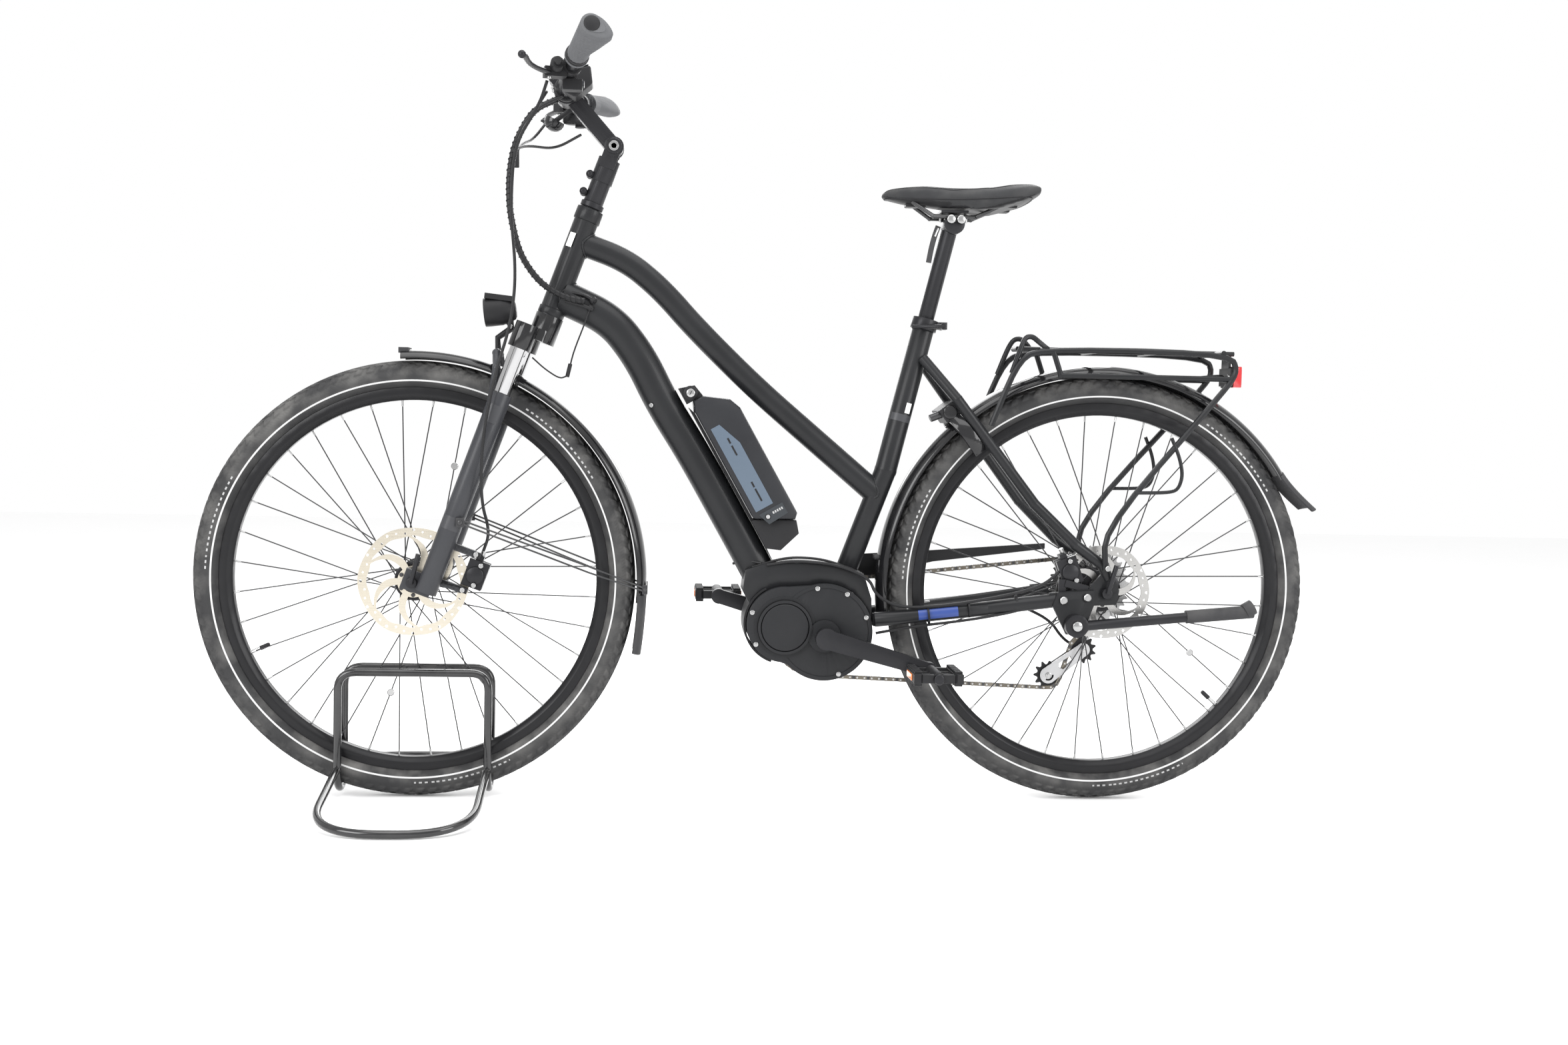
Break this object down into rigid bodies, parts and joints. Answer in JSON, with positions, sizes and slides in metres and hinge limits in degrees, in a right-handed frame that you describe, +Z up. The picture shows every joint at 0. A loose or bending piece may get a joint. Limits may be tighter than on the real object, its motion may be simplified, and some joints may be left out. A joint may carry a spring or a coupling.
{
  "type": "electric bicycle on stand",
  "caption": "Low-step electric touring bicycle with mudguards, carrier, disc brakes and mid motor, its front wheel held upright in a tubular floor stand.",
  "frame": {"origin": "on the floor, in the middle plane, halfway between the front of the front tyre and the tip of the rear mudguard", "axes": "+X to the rear, +Y to the right side, +Z up"},
  "size_m": [1.8864, 0.6644, 1.2206],
  "materials": {
    "frame_paint": "satin black paint",
    "fork_gloss": "gloss black paint",
    "fork_grey": "satin dark grey",
    "motor_plastic": "matte moulded",
    "battery_plastic": "matte moulded",
    "black_plastic": "matte moulded",
    "guard_gloss": "gloss black",
    "lamp_red": "red lens",
    "lamp_black": "gloss black with clear lens",
    "black_alloy": "black anodised",
    "silver_alloy": "silver",
    "steel": "brushed",
    "dark_steel": "oiled",
    "spoke_steel": "black",
    "rubber": "soft rubber",
    "tyre_rubber": "treaded",
    "saddle_cover": "soft synthetic cover",
    "stand_gloss": "gloss black powder coat"
  },
  "bodies": {
    "frame": {"head_tube": "frame_paint", "top_tube": "frame_paint", "down_tube": "frame_paint", "seat_tube": "frame_paint", "motor_bracket": "frame_paint", "chain_stays": "frame_paint", "seat_stays": "frame_paint", "motor_housing": "motor_plastic", "battery_dock": "black_plastic", "rear_mudguard": "guard_gloss", "rack": "black_alloy", "tail_lamp": "lamp_red", "ring_lock": "black_plastic", "chain_guard": "black_plastic", "rear_caliper": "black_alloy", "rear_axle": "black_alloy", "derailleur": "silver_alloy", "chain": "dark_steel", "cable_loom": "rubber", "seat_collar": "silver_alloy"},
    "battery": {"battery": "battery_plastic"},
    "battery_key": {"battery_key": "silver_alloy"},
    "seat_lever": {"seat_lever": "silver_alloy"},
    "seat_post": {"seat_post": "black_alloy"},
    "saddle": {"saddle_frame": "dark_steel", "saddle_pad": "saddle_cover"},
    "kickstand": {"kickstand_leg": "black_alloy"},
    "crank": {"crank_set": "black_alloy", "chainring": "dark_steel"},
    "pedal_left": {"pedal_left": "black_alloy"},
    "pedal_right": {"pedal_right": "black_alloy"},
    "cassette": {"cassette": "steel"},
    "guide_pulley": {"guide_pulley": "black_plastic"},
    "tension_pulley": {"tension_pulley": "black_plastic"},
    "rear_wheel": {"rear_hub": "black_alloy", "rear_rim": "black_alloy", "rear_tyre": "tyre_rubber", "rear_spokes": "spoke_steel", "rear_disc": "steel"},
    "steering": {"fork_crown": "fork_gloss", "stem_base": "black_alloy", "front_hose": "rubber"},
    "bars": {"stem_arm": "black_alloy", "handlebar": "black_alloy", "grips": "rubber", "controls": "black_plastic"},
    "brake_lever_left": {"brake_lever_left": "black_alloy"},
    "brake_lever_right": {"brake_lever_right": "black_alloy"},
    "shift_lever": {"shift_lever": "black_plastic"},
    "fork_lowers": {"fork_lowers": "fork_grey", "front_mudguard": "guard_gloss", "front_caliper": "black_alloy", "front_axle": "black_alloy"},
    "headlamp": {"headlamp": "lamp_black"},
    "front_wheel": {"front_hub": "black_alloy", "front_rim": "black_alloy", "front_tyre": "tyre_rubber", "front_spokes": "spoke_steel", "front_disc": "steel"},
    "floor_stand": {"floor_stand": "stand_gloss"}
  },
  "joints": [
    {"name": "steering_turn", "type": "hinge", "parent": "frame", "child": "steering", "pos_m": [-0.66218, 0, 0], "axis": [0.342, 0, 0.9397], "range_deg": [-45, 45], "deforming": ["cable_loom"]},
    {"name": "stem_tilt", "type": "hinge", "parent": "steering", "child": "bars", "pos_m": [-0.26989, 0, 1.07783], "axis": [0, 1, 0], "range_deg": [-20, 30], "deforming": ["front_hose"]},
    {"name": "brake_left", "type": "hinge", "parent": "bars", "child": "brake_lever_left", "pos_m": [-0.36738, -0.163, 1.16378], "axis": [0, 0, 1], "range_deg": [0, 20], "stiffness_Nm_per_rad": 1.2, "springref_deg": -8.59},
    {"name": "brake_right", "type": "hinge", "parent": "bars", "child": "brake_lever_right", "pos_m": [-0.36738, 0.163, 1.16378], "axis": [0, 0, -1], "range_deg": [0, 20], "stiffness_Nm_per_rad": 1.2, "springref_deg": -8.59},
    {"name": "shift_press", "type": "hinge", "parent": "bars", "child": "shift_lever", "pos_m": [-0.33207, 0.133, 1.13327], "axis": [0, 0, 1], "range_deg": [0, 25], "stiffness_Nm_per_rad": 0.25, "springref_deg": -8.59},
    {"name": "fork_travel", "type": "slide", "parent": "steering", "child": "fork_lowers", "axis": [0.342, 0, 0.9397], "range_m": [0, 0.038], "stiffness_N_per_m": 8000, "springref_m": -0.02, "deforming": ["front_hose"]},
    {"name": "lamp_tilt", "type": "hinge", "parent": "fork_lowers", "child": "headlamp", "pos_m": [-0.45478, 0, 0.73648], "axis": [0, 1, 0], "range_deg": [-15, 4]},
    {"name": "front_spin", "type": "hinge", "parent": "fork_lowers", "child": "front_wheel", "pos_m": [-0.584, 0, 0.361], "axis": [0, 1, 0], "continuous": true},
    {"name": "stand_lift_off", "type": "slide", "parent": "fork_lowers", "child": "floor_stand", "axis": [0, 0, -1], "range_m": [0, 0.3]},
    {"name": "rear_spin", "type": "hinge", "parent": "frame", "child": "rear_wheel", "pos_m": [0.56, 0, 0.361], "axis": [0, 1, 0], "continuous": true},
    {"name": "crank_spin", "type": "hinge", "parent": "frame", "child": "crank", "pos_m": [0.091, 0, 0.281], "axis": [0, 1, 0], "continuous": true},
    {"name": "pedal_left_spin", "type": "hinge", "parent": "crank", "child": "pedal_left", "pos_m": [0.26114, 0, 0.23221], "axis": [0, 1, 0], "continuous": true},
    {"name": "pedal_right_spin", "type": "hinge", "parent": "crank", "child": "pedal_right", "pos_m": [-0.07914, 0, 0.32979], "axis": [0, 1, 0], "continuous": true},
    {"name": "cassette_spin", "type": "hinge", "parent": "frame", "child": "cassette", "pos_m": [0.56, 0, 0.361], "axis": [0, 1, 0], "continuous": true},
    {"name": "guide_spin", "type": "hinge", "parent": "frame", "child": "guide_pulley", "pos_m": [0.554, 0, 0.25], "axis": [0, 1, 0], "continuous": true},
    {"name": "tension_spin", "type": "hinge", "parent": "frame", "child": "tension_pulley", "pos_m": [0.494, 0, 0.205], "axis": [0, 1, 0], "continuous": true},
    {"name": "kickstand_turn", "type": "hinge", "parent": "frame", "child": "kickstand", "pos_m": [0.506, -0.0915, 0.308], "axis": [0, 1, 0], "range_deg": [0, 88]},
    {"name": "seat_height", "type": "slide", "parent": "frame", "child": "seat_post", "axis": [0.2334, 0, 0.9724], "range_m": [-0.06, 0.05]},
    {"name": "saddle_tilt", "type": "hinge", "parent": "seat_post", "child": "saddle", "pos_m": [0.29627, 0, 0.977], "axis": [0, 1, 0], "range_deg": [-8, 8]},
    {"name": "seat_lever_open", "type": "hinge", "parent": "frame", "child": "seat_lever", "pos_m": [0.28334, 0, 0.8], "axis": [0, 1, 0], "range_deg": [0, 90]},
    {"name": "battery_out", "type": "slide", "parent": "frame", "child": "battery", "axis": [0, -1, 0], "range_m": [0, 0.12]},
    {"name": "key_turn", "type": "hinge", "parent": "frame", "child": "battery_key", "pos_m": [-0.1377, 0, 0.67871], "axis": [0, 1, 0], "range_deg": [-90, 0]}
  ],
  "couplings": [
    {"joint": "cassette_spin", "follows": "crank_spin", "ratio": 1.5385},
    {"joint": "guide_spin", "follows": "crank_spin", "ratio": -3.6364},
    {"joint": "tension_spin", "follows": "crank_spin", "ratio": 3.6364}
  ]
}
